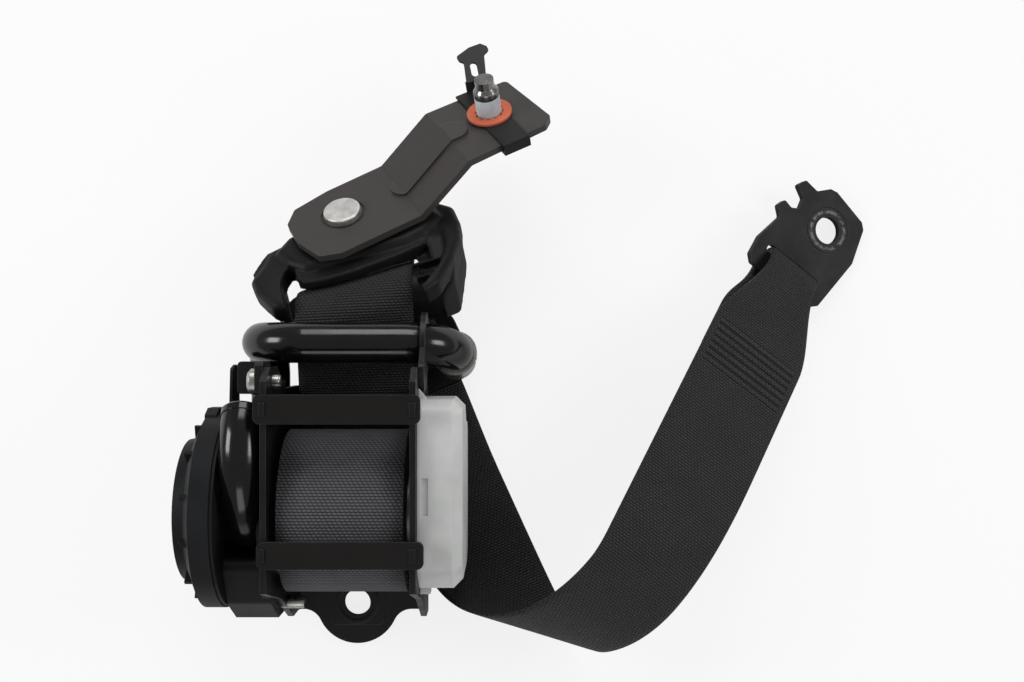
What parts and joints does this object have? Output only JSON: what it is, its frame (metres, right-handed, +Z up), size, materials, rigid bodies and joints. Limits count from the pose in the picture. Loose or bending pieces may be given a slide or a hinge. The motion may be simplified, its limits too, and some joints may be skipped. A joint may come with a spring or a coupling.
{
  "type": "front seat belt",
  "caption": "Three-point seat belt laid out flat: pretensioner retractor, webbing, pillar loop on its offset bracket, sliding latch tongue and lower anchor plate.",
  "frame": {"origin": "centre of the retractor's mounting hole, on the back face of its back plate", "axes": "+Z up from the table the belt lies on, +X across the retractor towards the mechanism cover, +Y towards the pillar loop"},
  "size_m": [0.2862, 0.2577, 0.093],
  "materials": {
    "frame_steel": "black coated steel, satin",
    "bar_steel": "zinc plated steel",
    "dark_plastic": "matte",
    "black_tube": "gloss black",
    "ball_aluminium": "plain",
    "seal_rubber": "matte",
    "yellow_plastic": "satin",
    "screw_steel": "zinc plated",
    "spring_steel": "blued",
    "milky_plastic": "milky, slightly see-through",
    "webbing_fabric": "woven polyester",
    "loop_plastic": "fine grain",
    "cast_spool": "die cast",
    "ball_steel": "polished",
    "black_plate": "black coated, worn satin",
    "rivet_steel": "bare steel",
    "orange_washer": "matte",
    "bolt_steel": "dark chrome with a dry coat on the thread"
  },
  "bodies": {
    "retractor": {"retractor_frame": "frame_steel", "upper_tie_bar": "bar_steel", "lower_tie_bar": "bar_steel", "spool_bush_left": "dark_plastic", "spool_bush_right": "dark_plastic", "pretensioner_housing": "dark_plastic", "pretensioner_tube": "black_tube", "drive_balls": "ball_aluminium", "piston_seal": "seal_rubber", "tube_end_cap": "black_tube", "gas_generator": "bar_steel", "generator_bracket": "frame_steel", "connector_socket": "yellow_plastic", "tube_clamp": "frame_steel", "housing_screws": "screw_steel", "spring_cover": "dark_plastic", "spring_plate": "dark_plastic", "return_spring": "spring_steel", "mechanism_cover": "milky_plastic", "sensor_housing": "milky_plastic", "pawl_pin": "screw_steel", "webbing": "webbing_fabric", "pillar_loop_body": "loop_plastic", "pillar_loop_plate": "frame_steel", "wave_washer": "spring_steel"},
    "spool": {"spool_core": "cast_spool", "webbing_roll": "webbing_fabric", "torsion_bar": "bar_steel", "ratchet_wheel": "bar_steel", "drive_pinion": "cast_spool", "spring_arbor": "dark_plastic", "flywheel": "bar_steel"},
    "pawl": {"locking_pawl": "bar_steel"},
    "ball": {"sensor_ball": "ball_steel"},
    "lever": {"sensor_lever": "milky_plastic"},
    "bracket": {"offset_bracket": "black_plate", "pivot_rivet": "rivet_steel", "locating_clip": "black_plate", "retaining_washer": "orange_washer"},
    "bolt": {"anchor_bolt": "bolt_steel"},
    "tongue": {"tongue_blade": "rivet_steel", "tongue_grip": "loop_plastic"},
    "anchor": {"lower_anchor_plate": "black_plate"}
  },
  "joints": [
    {"name": "spool_spin", "type": "hinge", "parent": "retractor", "child": "spool", "pos_m": [0, 0.03793, 0.04499], "axis": [1, 0, 0], "continuous": true},
    {"name": "pawl_pivot", "type": "hinge", "parent": "retractor", "child": "pawl", "pos_m": [0, 0.06728, 0.03485], "axis": [1, 0, 0], "range_deg": [0, 6]},
    {"name": "ball_lift", "type": "slide", "parent": "retractor", "child": "ball", "axis": [0, 0.9877, 0.1564], "range_m": [0, 0.0008]},
    {"name": "lever_tip", "type": "hinge", "parent": "retractor", "child": "lever", "pos_m": [0.042, 0.02514, 0.05157], "axis": [1, 0, 0], "range_deg": [0, 8]},
    {"name": "loop_swivel", "type": "hinge", "parent": "retractor", "child": "bracket", "pos_m": [-0.00397, 0.15677, 0.03748], "axis": [-0.1286, 0.5806, 0.804], "range_deg": [-25, 25]},
    {"name": "bolt_spin", "type": "hinge", "parent": "bracket", "child": "bolt", "pos_m": [0.05622, 0.20191, 0.03964], "axis": [-0.1286, 0.5806, 0.804], "continuous": true},
    {"name": "tongue_slide", "type": "slide", "parent": "retractor", "child": "tongue", "axis": [-0.4179, 0.9085, 0], "range_m": [0, 0.01]},
    {"name": "anchor_tilt", "type": "hinge", "parent": "retractor", "child": "anchor", "pos_m": [0.18428, 0.1388, 0.00814], "axis": [0.7871, -0.5287, -0.3176], "range_deg": [0, 30]}
  ],
  "couplings": [
    {"joint": "lever_tip", "follows": "ball_lift", "rad_per_m": 100}
  ]
}
